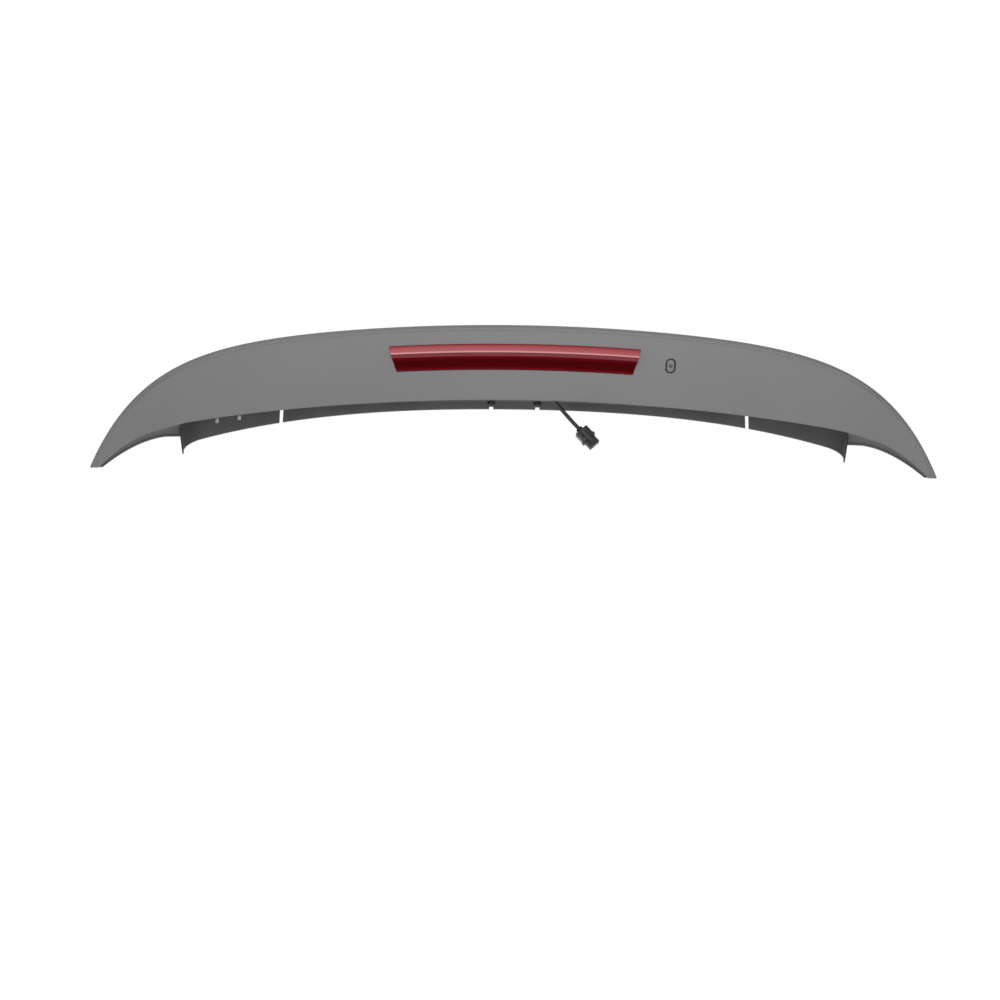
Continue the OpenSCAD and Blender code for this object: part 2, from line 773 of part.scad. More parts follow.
module lamp_lead() {
    rings = len(lead_path);
    function ring(i) =
        let (w = along(i), p = cross([0, 0, 1], w), across = p / norm(p), over = cross(w, across))
        [
            for (k = [0:lead_sides - 1])
                lead_path[i] + lead_r * (cos(360 * k / lead_sides) * across
                + sin(360 * k / lead_sides) * over)
        ];
    points = [for (i = [0:rings - 1]) each ring(i)];
    walls = [
        for (i = [0:rings - 2])
            for (k = [0:lead_sides - 1])
                let (n = (k + 1) % lead_sides, a = i * lead_sides, b = a + lead_sides)
                each [[a + k, b + k, b + n], [a + k, b + n, a + n]]
    ];
    first = [for (k = [1:lead_sides - 2]) [0, k, k + 1]];
    far = (rings - 1) * lead_sides;
    ending = [for (k = [1:lead_sides - 2]) [far, far + k + 1, far + k]];
    color("#232325")
        polyhedron(points, concat(walls, first, ending));
}

// Plug on the lead's end, along the lead's last direction

lead_end = lead_path[len(lead_path) - 1];
lead_last = lead_end - lead_path[len(lead_path) - 2];
plug_turn = atan2(lead_last[0], lead_last[2]);
module plug_place() {
    translate(lead_end)
        rotate([0, plug_turn, 0])
            rotate([0, 0, 90])
                children();
}
seal_len = 5;

module plug_seal() {
    color("#8c3a1e")
        plug_place()
            rotate_extrude()
                polygon([
                    [0, 0], [lead_r + 0.8, 0], [lead_r + 2.2, 1], [lead_r + 2.2, 2],
                    [lead_r + 1.6, 2.5], [lead_r + 2.2, 3], [lead_r + 2.2, seal_len],
                    [0, seal_len]
                ]);
}

module plug_housing() {
    body_from = seal_len;
    pin_gap = 5;
    color("#202123")
        plug_place()
            translate([0, 0, body_from])
                difference() {
                    union() {
                        translate([-plug_t / 2, -plug_w / 2, 0])
                            cube([plug_t, plug_w, plug_len * 0.62]);
                        translate([-plug_t / 2 + 1.5, -plug_w / 2 + 1.5, 0])
                            cube([plug_t - 3, plug_w - 3, plug_len]);
                        translate([-plug_t / 2 - 1, -plug_w / 2 - 1, plug_len * 0.46])
                            cube([plug_t + 2, plug_w + 2, plug_len * 0.14]);
                        for (side = [-1, 1])
                            translate([-plug_t / 2 - 0.8, side * plug_w * 0.32 - 0.8, 0])
                                cube([plug_t + 1.6, 1.6, plug_len * 0.4]);
                        translate([-plug_t / 2 - 3, -3.5, 3])
                            cube([1.6, 7, plug_len - 5]);
                        translate([-plug_t / 2 - 3, -3.5, 3])
                            cube([3.5, 7, 2.5]);
                        translate([-plug_t / 2 - 4, -3.5, plug_len * 0.72])
                            cube([2, 7, 2]);
                    }
                    for (side = [-1, 1])
                        translate([-0.9, side * pin_gap - 1.7, plug_len - 9])
                            cube([1.8, 3.4, 10]);
                }
}

module plug_terminals() {
    pin_gap = 5;
    color("#b8b9b4")
        plug_place()
            for (side = [-1, 1])
                translate([-0.4, side * pin_gap - 1.4, seal_len + plug_len - 9 + 0.02])
                    cube([0.8, 2.8, 7.5]);
}

// Washer jet: an oval cap in the lower skin, with a rubber seal and an aimed ball

module oval(w, l, h) {
    for (side = [-1, 1])
        translate([0, side * (l - w) / 2, 0])
            cylinder(r = w / 2, h = h);
    translate([-w / 2, -(l - w) / 2, 0])
        cube([w, l - w, h]);
}

jet_v = 0.37;
jet_depth = 9;
module jet_place() {
    p = low_point(jet_x, jet_v);
    step = low_point(jet_x + 1, jet_v) - p;
    rise = step * run_b;
    translate([jet_x, p[0], p[1]])
        rotate([lamp_tilt, 0, 0])
            rotate([0, -atan(rise), 0])
                children();
}

module jet_body() {
    color(primer)
        jet_place()
            difference() {
                union() {
                    translate([0, 0, -low_wall - 1.5])
                        oval(jet_w - 2 * jet_gap, jet_l - 2 * jet_gap, low_wall + 1.5 - 0.2);
                    translate([0, 0, -low_wall - 3.3])
                        oval(jet_w + 4, jet_l + 4, 1.8);
                    translate([0, 0, -12])
                        cylinder(r = 4.5, h = 12 - low_wall - 2);
                    translate([0, 0, -9.5])
                        rotate([90, 0, 0]) {
                            cylinder(r = 2, h = 16);
                            translate([0, 0, 12])
                                cylinder(r1 = 2.7, r2 = 2, h = 3);
                        }
                }
                translate([0, 0, -2.4])
                    cylinder(r = ball_r + 0.6, h = 5);
            }
}

module jet_seal() {
    color("#18181a")
        jet_place()
            difference() {
                union() {
                    translate([0, 0, -low_wall - 1.48])
                        oval(jet_w + 3, jet_l + 3, 1.48 - skin_play);
                    translate([0, 0, -low_wall - 1])
                        oval(jet_w - 0.1, jet_l - 0.1, low_wall);
                }
                translate([0, 0, -low_wall - 3])
                    oval(jet_w - 2 * jet_gap + 0.1, jet_l - 2 * jet_gap + 0.1, low_wall + 4);
            }
}

module jet_nozzle() {
    color("#1a1a1c")
        jet_place()
            translate([0, 0, -2.38])
                rotate_extrude()
                    polygon([
                        [0, 0], [ball_r + 0.4, 0], [ball_r + 0.4, 0.8], [ball_r * 0.9, 1.6],
                        [ball_r * 0.5, 2.2], [0.5, 2.4], [0.5, 1.4], [0, 1.4]
                    ]);
}

top_skin();
lower_skin();
inner_carrier();
threaded_inserts();
centre_clips();
edge_clips();
lamp_lens();
lamp_housing();
lamp_reflector();
lamp_board();
lamp_diodes();
lamp_gasket();
lamp_screws();
lead_gland();
lamp_lead();
plug_housing();
plug_seal();
plug_terminals();
jet_body();
jet_seal();
jet_nozzle();
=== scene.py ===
import math
import bpy
import bmesh
from mathutils import Matrix, Vector


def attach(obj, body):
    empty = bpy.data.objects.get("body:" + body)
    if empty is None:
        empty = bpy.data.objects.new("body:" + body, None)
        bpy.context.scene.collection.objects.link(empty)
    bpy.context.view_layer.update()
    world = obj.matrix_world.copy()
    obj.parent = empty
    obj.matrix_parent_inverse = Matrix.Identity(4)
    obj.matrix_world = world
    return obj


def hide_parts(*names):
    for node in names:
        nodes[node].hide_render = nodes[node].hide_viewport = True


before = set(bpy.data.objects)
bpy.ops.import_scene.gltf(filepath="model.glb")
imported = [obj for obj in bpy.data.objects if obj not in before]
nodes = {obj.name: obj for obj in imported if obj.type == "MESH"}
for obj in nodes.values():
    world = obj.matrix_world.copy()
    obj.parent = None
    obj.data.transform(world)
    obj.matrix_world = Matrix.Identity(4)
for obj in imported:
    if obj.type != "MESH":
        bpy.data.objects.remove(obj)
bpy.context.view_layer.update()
mm = 0.001
bpy.context.scene.view_settings.view_transform = "Standard"
print("frame loaded")


# camera, lights and surroundings

def newObject(name, data):
    obj = bpy.data.objects.new(name, data)
    bpy.context.scene.collection.objects.link(obj)
    return obj


def aimed(place, target):
    return (Vector(target) - Vector(place)).to_track_quat("-Z", "Y").to_matrix().to_4x4()


camSpec = {
    "target": Vector((0, 0.004, -0.016)),
    "distance": 3.78,
    "below": math.radians(21.8),  # how far the camera stands below the part
    "roll": math.radians(0.74),
    "focal": 93.6,
    "sensor": 36,
    "sight": 60,  # how far it sees, in metres
    "spot": (514.2, 410.8),  # where the target falls in the photograph
    "photo": 1000,  # the photograph's side in pixels
}
camData = bpy.data.cameras.new("camera")
camData.lens = camSpec["focal"]
camData.sensor_width = camSpec["sensor"]
camData.clip_end = camSpec["sight"]
camData.shift_x = (camSpec["photo"] / 2 - camSpec["spot"][0]) / camSpec["photo"]
camData.shift_y = (camSpec["spot"][1] - camSpec["photo"] / 2) / camSpec["photo"]
camera = newObject("camera", camData)
away = Vector((0, -math.cos(camSpec["below"]), -math.sin(camSpec["below"])))
camPlace = camSpec["target"] + away * camSpec["distance"]
camera.matrix_world = (
    Matrix.Translation(camPlace)
    @ aimed(camPlace, camSpec["target"])
    @ Matrix.Rotation(camSpec["roll"], 4, "Z")
)
bpy.context.scene.camera = camera

lights = {
    "keyLight": {"place": (-1.2, -3.6, 1.5), "size": (3.0, 1.6), "power": 32},
    "lowLight": {"place": (0.1, -1.15, -1.9), "size": (1.5, 1.1), "power": 28.5},
    "topLight": {"place": (0.4, -0.4, 3.6), "size": (3.0, 2.4), "power": 42},
    "frontLight": {"place": (0.0, 3.4, 1.2), "size": (3.0, 1.6), "power": 16},
}
lightTarget = (0, 0, 0)


def softbox(name, place, size, power):
    data = bpy.data.lights.new(name, "AREA")
    data.shape = "RECTANGLE"
    data.size, data.size_y = size
    data.energy = power
    light = newObject(name, data)
    light.matrix_world = Matrix.Translation(Vector(place)) @ aimed(place, lightTarget)


for name, spec in lights.items():
    softbox(name, **spec)


def seenDirectly(tree):
    path = tree.nodes.new("ShaderNodeLightPath")
    seen = path.outputs["Is Camera Ray"]
    for kind in ("Is Glossy Ray", "Is Transmission Ray"):
        both = tree.nodes.new("ShaderNodeMath")
        both.operation = "MAXIMUM"
        tree.links.new(seen, both.inputs[0])
        tree.links.new(path.outputs[kind], both.inputs[1])
        seen = both.outputs[0]
    return seen


studio = {
    "fill": 0.36, "fillTint": (0.98, 0.99, 1.0), "white": 1.0,
    "floorHalf": 14, "floorZ": -4.1, "floorSeen": 0.94,
    "floorShare": 0.7,  # how much of the floor's seen colour is that pale one
}
world = bpy.data.worlds.new("studio")
bpy.context.scene.world = world
world.use_nodes = True
worldTree = world.node_tree
worldTree.nodes.clear()
worldOut = worldTree.nodes.new("ShaderNodeOutputWorld")
worldMix = worldTree.nodes.new("ShaderNodeMixShader")
worldFill = worldTree.nodes.new("ShaderNodeBackground")
worldFill.inputs["Color"].default_value = (*studio["fillTint"], 1)
worldFill.inputs["Strength"].default_value = studio["fill"]
worldWhite = worldTree.nodes.new("ShaderNodeBackground")
worldWhite.inputs["Color"].default_value = (1, 1, 1, 1)
worldWhite.inputs["Strength"].default_value = studio["white"]
worldTree.links.new(seenDirectly(worldTree), worldMix.inputs[0])
worldTree.links.new(worldFill.outputs[0], worldMix.inputs[1])
worldTree.links.new(worldWhite.outputs[0], worldMix.inputs[2])
worldTree.links.new(worldMix.outputs[0], worldOut.inputs[0])
print("camera, lights and world made")


# materials

noiseRange = (0.3, 0.7)  # what is used of a noise between 0 and 1
grainDepth = 0.0004


def shaderMaterial(name, **values):
    mat = bpy.data.materials.new(name)
    mat.use_nodes = True
    tree = mat.node_tree
    shader = tree.nodes["Principled BSDF"]
    for key, value in values.items():
        shader.inputs[key.replace("_", " ")].default_value = value
    return mat, tree, shader


def noiseNode(tree, scale, detail=2.0, rough=0.5):
    coord = tree.nodes.new("ShaderNodeTexCoord")
    noise = tree.nodes.new("ShaderNodeTexNoise")
    noise.inputs["Scale"].default_value = scale
    noise.inputs["Detail"].default_value = detail
    noise.inputs["Roughness"].default_value = rough
    tree.links.new(coord.outputs["Object"], noise.inputs["Vector"])
    return noise


def spreadNode(tree, source, low, high):
    spread = tree.nodes.new("ShaderNodeMapRange")
    spread.inputs["From Min"].default_value = noiseRange[0]
    spread.inputs["From Max"].default_value = noiseRange[1]
    spread.inputs["To Min"].default_value = low
    spread.inputs["To Max"].default_value = high
    tree.links.new(source, spread.inputs["Value"])
    return spread.outputs["Result"]


def tintNode(tree, source, dark, light):
    ramp = tree.nodes.new("ShaderNodeValToRGB")
    for mark, at, tone in zip(ramp.color_ramp.elements, noiseRange, (dark, light)):
        mark.position = at
        mark.color = (*tone, 1)
    tree.links.new(source, ramp.inputs["Fac"])
    return ramp.outputs["Color"]


def bumpNode(tree, source, strength):
    bump = tree.nodes.new("ShaderNodeBump")
    bump.inputs["Strength"].default_value = strength
    bump.inputs["Distance"].default_value = grainDepth
    tree.links.new(source, bump.inputs["Height"])
    return bump.outputs["Normal"]


def surface(name, dark, light, rough, tintScale, grainScale, grain, **values):
    mat, tree, shader = shaderMaterial(name, **values)
    tint = noiseNode(tree, tintScale, 4.0, 0.6)
    grainNoise = noiseNode(tree, grainScale)
    tree.links.new(tintNode(tree, tint.outputs["Fac"], dark, light), shader.inputs["Base Color"])
    roughOut = spreadNode(tree, tint.outputs["Fac"], rough[0], rough[1])
    tree.links.new(roughOut, shader.inputs["Roughness"])
    tree.links.new(bumpNode(tree, grainNoise.outputs["Fac"], grain), shader.inputs["Normal"])
    return mat


def grey(level, cast=0.0):
    return (level, level * (1 + cast * 0.5), level * (1 + cast))


primer = surface(
    "primer", grey(0.206), grey(0.22),
    rough=(0.5, 0.6), tintScale=7, grainScale=900, grain=0.05, Specular_IOR_Level=0.32,
)
# the primer made darker on the skins' inner faces and in the jet's nozzle: painted shade
primerPaintedShade = surface(
    "primerPaintedShade", grey(0.115), grey(0.15),
    rough=(0.6, 0.75), tintScale=16, grainScale=420, grain=0.12, Specular_IOR_Level=0.25,
)
carrierPlastic = surface(
    "carrierPlastic", grey(0.045), grey(0.062),
    rough=(0.5, 0.62), tintScale=30, grainScale=700, grain=0.2,
)
blackPlastic = surface(
    "blackPlastic", grey(0.014), grey(0.022),
    rough=(0.4, 0.52), tintScale=40, grainScale=900, grain=0.2,
)
clipPlastic = surface(
    "clipPlastic", grey(0.010), grey(0.017),
    rough=(0.35, 0.45), tintScale=50, grainScale=900, grain=0.15,
)
foam = surface(
    "foam", grey(0.014), grey(0.03),
    rough=(0.85, 0.95), tintScale=260, grainScale=1500, grain=0.8,
)
leadSheath = surface(
    "leadSheath", grey(0.016), grey(0.024),
    rough=(0.42, 0.55), tintScale=60, grainScale=800, grain=0.15,
)
sealRubber = surface(
    "sealRubber", grey(0.018), grey(0.026),
    rough=(0.6, 0.7), tintScale=60, grainScale=900, grain=0.2,
)
jetRubber = surface(
    "jetRubber", grey(0.008), grey(0.013),
    rough=(0.55, 0.7), tintScale=60, grainScale=900, grain=0.25,
)
brass = surface(
    "brass", (0.60, 0.42, 0.17), (0.70, 0.52, 0.25),
    rough=(0.28, 0.4), tintScale=120, grainScale=900, grain=0.1, Metallic=1.0,
)
steel = surface(
    "steel", grey(0.52), grey(0.62),
    rough=(0.26, 0.36), tintScale=120, grainScale=900, grain=0.1, Metallic=1.0,
)
springSteel = surface(
    "springSteel", (0.26, 0.26, 0.25), (0.34, 0.34, 0.32),
    rough=(0.45, 0.58), tintScale=90, grainScale=900, grain=0.08, Metallic=0.7,
)
terminalTin = surface(
    "terminalTin", (0.66, 0.62, 0.5), (0.74, 0.7, 0.58),
    rough=(0.2, 0.32), tintScale=90, grainScale=900, grain=0.08, Metallic=1.0,
)
mirrorFilm = surface(
    "mirrorFilm", grey(0.72), grey(0.8),
    rough=(0.1, 0.2), tintScale=30, grainScale=600, grain=0.1, Metallic=1.0,
)
boardMask = surface(
    "boardMask", (0.01, 0.07, 0.028), (0.014, 0.1, 0.04),
    rough=(0.25, 0.35), tintScale=200, grainScale=900, grain=0.1,
)
diodeBody = surface(
    "diodeBody", (0.78, 0.76, 0.68), (0.84, 0.82, 0.76),
    rough=(0.3, 0.4), tintScale=300, grainScale=900, grain=0.05,
)
diodeGlow = surface(
    "diodeGlow", (0.86, 0.62, 0.14), (0.9, 0.7, 0.2),
    rough=(0.18, 0.26), tintScale=300, grainScale=900, grain=0.05,
)


facetGrain = {"scale": 90, "bump": 0.03}  # of the lens


# lens facet material whose colour ramp across the facet paints its light and shade: painted reflection,
# painted highlight and painted shadow lines
def paintedFacetSurface(name, stops, rough, **values):
    mat, tree, shader = shaderMaterial(name, **values)
    shader.inputs["Roughness"].default_value = rough
    place = tree.nodes.new("ShaderNodeAttribute")
    place.attribute_name = "facet"  # 0 at the facet's upper edge, 1 at its lower edge
    ramp = tree.nodes.new("ShaderNodeValToRGB")
    marks = ramp.color_ramp.elements
    while len(marks) < len(stops):
        marks.new(0.5)
    for mark, (at, tone) in zip(marks, stops):
        mark.position = at
        mark.color = (*tone, 1)
    grain = noiseNode(tree, facetGrain["scale"])
    bumpOut = bumpNode(tree, grain.outputs["Fac"], facetGrain["bump"])
    tree.links.new(place.outputs["Fac"], ramp.inputs["Fac"])
    tree.links.new(ramp.outputs["Color"], shader.inputs["Base Color"])
    tree.links.new(bumpOut, shader.inputs["Normal"])
    return mat


# upper facet: a painted shadow line at its upper edge, a pink painted reflection brightening to a
# painted highlight at the ridge, and a painted shadow line under it
lensUpperPaintedLight = paintedFacetSurface(
    "lensUpperPaintedLight",
    [(0.0, (0.30, 0.01, 0.018)), (0.14, (0.42, 0.062, 0.08)), (0.55, (0.52, 0.12, 0.135)),
     (0.74, (0.54, 0.145, 0.155)), (0.9, (0.98, 0.46, 0.45)), (1.0, (0.30, 0.03, 0.04))],
    rough=0.36, Specular_IOR_Level=0.15,
)
# brow: a painted shadow line under the ridge, then a brownish band of painted reflection
lensBrowPaintedLight = paintedFacetSurface(
    "lensBrowPaintedLight",
    [(0.0, (0.045, 0.002, 0.004)), (0.3, (0.2, 0.026, 0.034)), (1.0, (0.16, 0.010, 0.016))],
    rough=0.3, Specular_IOR_Level=0.25,
)
# lower facet: kept deep dark red as painted shade, with a painted highlight line along its lower edge
lensLowerPaintedLight = paintedFacetSurface(
    "lensLowerPaintedLight",
    [(0.0, (0.13, 0.003, 0.007)), (0.3, (0.06, 0.0006, 0.002)), (0.8, (0.075, 0.0008, 0.0024)),
     (1.0, (0.2, 0.006, 0.012))],
    rough=0.3, Specular_IOR_Level=0.01,
)
floorMat = surface(
    "floorMat", grey(0.78), grey(0.8),
    rough=(0.8, 0.9), tintScale=0.5, grainScale=20, grain=0.0,
)
floorTree = floorMat.node_tree
floorPale = floorTree.nodes.new("ShaderNodeEmission")
floorPale.inputs["Color"].default_value = (*grey(studio["floorSeen"]), 1)
floorShare = floorTree.nodes.new("ShaderNodeMath")
floorShare.operation = "MULTIPLY"
floorShare.inputs[1].default_value = studio["floorShare"]
floorMix = floorTree.nodes.new("ShaderNodeMixShader")
floorTree.links.new(seenDirectly(floorTree), floorShare.inputs[0])
floorTree.links.new(floorShare.outputs[0], floorMix.inputs[0])
floorTree.links.new(floorTree.nodes["Principled BSDF"].outputs[0], floorMix.inputs[1])
floorTree.links.new(floorPale.outputs[0], floorMix.inputs[2])
floorTree.links.new(floorMix.outputs[0], floorTree.nodes["Material Output"].inputs["Surface"])
print("materials made")


# shared making

weld = 1e-6  # points closer than this are one


def smoothed(mesh, sharp):
    for poly in mesh.polygons:
        poly.use_smooth = True
    mesh.set_sharp_from_angle(angle=math.radians(sharp))


def clean(mesh, sharp):
    work = bmesh.new()
    work.from_mesh(mesh)
    bmesh.ops.remove_doubles(work, verts=work.verts, dist=weld)
    loose = [v for v in work.verts if not v.link_faces]
    bmesh.ops.delete(work, geom=loose, context="VERTS")
    bmesh.ops.recalc_face_normals(work, faces=work.faces)
    work.to_mesh(mesh)
    work.free()
    smoothed(mesh, sharp)


def standsFor(obj, nodeName):  # the dressed piece takes the solid's place
    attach(obj, "root")
    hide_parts(nodeName)


def applied(obj):
    bpy.context.view_layer.update()
    deps = bpy.context.evaluated_depsgraph_get()
    mesh = bpy.data.meshes.new_from_object(obj.evaluated_get(deps))
    obj.modifiers.clear()
    old = obj.data
    obj.data = mesh
    bpy.data.meshes.remove(old)
    return mesh


rounding = {"segments": 2, "from": 40, "sharp": 50, "flat": 0.5}  # angles in degrees


def roundedCopy(name, nodeName, material, slotName, width):
    mesh = nodes[nodeName].data.copy()
    mesh.materials.clear()
    mesh.materials.append(material)
    work = bmesh.new()
    work.from_mesh(mesh)
    bmesh.ops.remove_doubles(work, verts=work.verts, dist=2 * weld)
    bmesh.ops.dissolve_limit(
        work, angle_limit=math.radians(rounding["flat"]), verts=work.verts, edges=work.edges
    )
    work.to_mesh(mesh)
    work.free()
    piece = newObject(name, mesh)
    mod = piece.modifiers.new("edges", "BEVEL")
    mod.width = width
    mod.segments = rounding["segments"]
    mod.limit_method = "ANGLE"
    mod.angle_limit = math.radians(rounding["from"])
    mod.use_clamp_overlap = True
    smoothed(applied(piece), rounding["sharp"])
    standsFor(piece, nodeName)
    return piece


# lead: the free cord from the lamp to its plug

leadSpec = {
    "stops": [
        (0.030, -0.0782, 0.0212), (0.031, -0.065, 0.015), (0.035, -0.055, 0.013),
        (0.040, -0.045, 0.007), (0.047, -0.036, 0.0), (0.055, -0.029, -0.009),
        (0.064, -0.024, -0.019), (0.074, -0.021, -0.030), (0.084, -0.019, -0.041),
        (0.093, -0.019, -0.051),
    ],
    "width": 0.0056,
    "points": 34,  # of the smooth line through the stops
    "roundness": 5,  # steps round its section
    "plugEdge": 0.0005,  # rounding of the plug's edges
}


def smoothRoute(stops, count):
    points = [Vector(p) for p in stops]
    ends = [points[0] * 2 - points[1]] + points + [points[-1] * 2 - points[-2]]
    route = []
    for k in range(count):
        place = (len(points) - 1) * k / (count - 1)
        n = min(len(points) - 2, int(place))
        t = place - n
        a, b, c, d = ends[n:n + 4]
        route.append(0.5 * (
            2 * b + (c - a) * t + (2 * a - 5 * b + 4 * c - d) * t ** 2
            + (3 * b - a - 3 * c + d) * t ** 3
        ))
    return route


plug = roundedCopy("plugHousing", "plug_housing", clipPlastic, "clip", leadSpec["plugEdge"])
leadRoute = smoothRoute(leadSpec["stops"], leadSpec["points"])
leadCurve = bpy.data.curves.new("lampLead", "CURVE")
leadCurve.dimensions = "3D"
leadCurve.bevel_depth = leadSpec["width"] / 2
leadCurve.bevel_resolution = leadSpec["roundness"]
leadCurve.use_fill_caps = True
leadLine = leadCurve.splines.new("POLY")
leadLine.points.add(len(leadRoute) - 1)
for mark, place in zip(leadLine.points, leadRoute):
    mark.co = (*place, 1)
leadCurve.materials.append(leadSheath)
lead = newObject("lampLead", leadCurve)
standsFor(lead, "lamp_lead")


# floor

floorCorners = [
    (studio["floorHalf"] * x, studio["floorHalf"] * y, studio["floorZ"])
    for x, y in ((-1, -1), (1, -1), (1, 1), (-1, 1))
]
floorMesh = bpy.data.meshes.new("floor")
floorMesh.from_pydata(floorCorners, [], [(0, 1, 2, 3)])
floorMesh.materials.append(floorMat)
floor = newObject("floor", floorMesh)
print("floor made")


# sheets of columns and rows, and cuts

def sheetMesh(name, layers, materials, live=lambda i, j: True, innerFrom=None):
    cols, rows = len(layers[0]), len(layers[0][0])
    last = len(layers) - 1
    verts = [tuple(c * mm for c in p) for layer in layers for column in layer for p in column]
    faces, inner = [], []
    twoSided = innerFrom is not None  # then the layers from innerFrom on get the second material

    def at(k, i, j):
        return (k * cols + i) * rows + j

    def there(i, j):
        return 0 <= i < cols - 1 and 0 <= j < rows - 1 and live(i, j)

    def rim(i, j, k, m):
        for g in range(last):
            faces.append((at(g, i, j), at(g, k, m), at(g + 1, k, m), at(g + 1, i, j)))
            inner.append(twoSided and g >= innerFrom)

    for i in range(cols - 1):
        for j in range(rows - 1):
            if not there(i, j):
                continue
            faces.append((at(0, i, j), at(0, i, j + 1), at(0, i + 1, j + 1), at(0, i + 1, j)))
            faces.append((
                at(last, i, j), at(last, i + 1, j), at(last, i + 1, j + 1), at(last, i, j + 1)
            ))
            inner += [False, twoSided]
            if not there(i, j - 1):
                rim(i, j, i + 1, j)
            if not there(i + 1, j):
                rim(i + 1, j, i + 1, j + 1)
            if not there(i, j + 1):
                rim(i + 1, j + 1, i, j + 1)
            if not there(i - 1, j):
                rim(i, j + 1, i, j)
    mesh = bpy.data.meshes.new(name)
    mesh.from_pydata(verts, [], faces)
    for material in materials:
        mesh.materials.append(material)
    mesh.polygons.foreach_set("material_index", [int(k) for k in inner])
    return mesh


def cutterFrom(name, work):
    mesh = bpy.data.meshes.new(name)
    work.to_mesh(mesh)
    work.free()
    return newObject(name, mesh)


def blockCutter(name, size, place):
    work = bmesh.new()
    bmesh.ops.create_cube(work, size=1)
    bmesh.ops.scale(work, vec=Vector(size) * mm, verts=work.verts)
    bmesh.ops.transform(work, matrix=place, verts=work.verts)
    return cutterFrom(name, work)


def prismCutter(name, low, high):
    work = bmesh.new()
    rings = [[work.verts.new(p * mm) for p in ring] for ring in (low, high)]
    for k in range(len(low)):
        m = (k + 1) % len(low)
        work.faces.new((rings[0][k], rings[0][m], rings[1][m], rings[1][k]))
    ends = [work.faces.new(ring) for ring in rings]
    bmesh.ops.triangulate(work, faces=ends)
    bmesh.ops.recalc_face_normals(work, faces=work.faces)
    return cutterFrom(name, work)


def cutBy(obj, cutter):
    mod = obj.modifiers.new("cut", "BOOLEAN")
    mod.operation = "DIFFERENCE"
    mod.solver = "EXACT"
    mod.object = cutter
    mesh = applied(obj)
    bpy.data.objects.remove(cutter)
    return mesh


# the blade's curves, in millimetres, with the sizes and formulas of the part's source

blade = {
    "span": 1260.0, "rearReach": 142.0, "rearRise": 57.0, "frontReach": 56.0,
    "roofRise": 13.9, "roofSlope": 0.135, "tipFall": 122.0, "tipSweep": 264.0,
    "leadSweep": 110.0, "camber": 25.0, "endDrop": 73.0, "endWidth": 100.0,
    "hornW": 123.0, "hornFlat": 29.0, "cornerR": 42.0, "noseR": 6.0, "tipW": 24.0,
    "hornReach": 68.94,  # 0.06 less than in the source, because the columns here are finer
    "tipFlat": -68.5,  # height at which the tips are cut flat, which the source leaves out
    "topWall": 2.8, "lowWall": 2.5, "edgeBevel": 1.2,
    "returnT": 2.6, "returnDepth": 15.0, "returnGain": 29.0, "returnLean": 0.2,
    "sideReturn": 7.0, "slitX": 346.0, "slitW": 5.0,
    "notchX": 34.0, "notchW": 6.0, "notchH": 4.0,
    "lowSetback": 98.0, "lowDepth": 42.0, "lowGain": 12.0, "lowCrown": 4.0, "foldH": 7.0,
    "lowTurn": 27.0,  # how far before a horn the lower skin starts to turn to the tip
    "seam": 0.06,  # between the two skins at the trailing lip
}
bend = {  # shares and powers of those curves, from the centre to a tip
    "trailEarly": 0.42, "trailPower": 7.2, "fallEarly": 0.25, "fallPower": 7,
    "leadLate": 0.32, "leadPower": 6, "sidePower": 1.7, "sideInset": 0.6, "sideLean": 0.17,
    "endPower": 1.9, "lipTop": 1.3, "lipLow": 1.25, "lipStep": 1.1, "lipGain": 0.25,
    "lipPower": 8, "pastTrail": 1.05, "returnFull": 0.8, "returnPower": 3, "seamSlope": 0.8,
    "lowSweepPower": 1.4, "lowRisePower": 2.2, "crownPower": 4,
}
near = 0.001  # columns closer than this to a horn's inner side are on it
half = blade["span"] / 2
hornX = half - blade["hornW"]
lipH = bend["lipTop"] * blade["topWall"] + bend["lipLow"] * blade["lowWall"] + bend["lipStep"]
tipY = blade["tipSweep"] - blade["rearReach"] + blade["tipW"] / 2


def share(x):
    return min(1.0, abs(x) / half)


def mix(a, b, t):
    return a + (b - a) * t


def lipDepth(x):  # depth of the trailing lip
    return lipH * (1 + bend["lipGain"] * share(x) ** bend["lipPower"])


def trailY(x):  # trailing edge
    u = share(x)
    sweep = mix(u ** bend["trailPower"], u ** 2, bend["trailEarly"])
    return blade["tipSweep"] * sweep - blade["rearReach"]


def trailIn(x, inset):  # the same, moved into the skin
    slope = trailY(abs(x)) - trailY(abs(x) - 1)
    return trailY(x) + inset * math.sqrt(1 + slope ** 2)


def leadBase(x):  # leading edge, without its corner into a horn
    u = share(x)
    sweep = u ** 2 + bend["leadLate"] * u ** bend["leadPower"]
    return blade["frontReach"] + blade["leadSweep"] * sweep


def leadY(x, inset):  # leading edge with that corner
    r = blade["cornerR"] + inset
    past = min(r, max(0, abs(x) - hornX + blade["cornerR"]))
    return leadBase(x) - inset + r - math.sqrt(max(0, r ** 2 - past ** 2))


def sideY(x, inset):  # front and outer edge of a horn
    fromSide = abs(x) - hornX - inset
    flat, noseR = blade["hornFlat"], blade["noseR"]
    past = min(1, max(0, abs(x) - hornX - flat) / (blade["hornW"] - flat))
    nose = min(noseR, max(0, noseR - fromSide))
    return (
        tipY + blade["tipW"] / 2 + blade["hornReach"] * (1 - past ** bend["sidePower"])
        - inset * (1 + bend["sideInset"] * past)
        + bend["sideLean"] * max(0, flat - fromSide)
        - noseR + math.sqrt(max(0, noseR ** 2 - nose ** 2))
    )


def roofZ(x, y):  # the roof line carried on backwards
    past = max(0, abs(x) - half + blade["endWidth"]) / blade["endWidth"]
    return (
        blade["roofRise"] + blade["roofSlope"] * y
        - blade["camber"] * share(x) ** 2 - blade["endDrop"] * past ** bend["endPower"]
    )


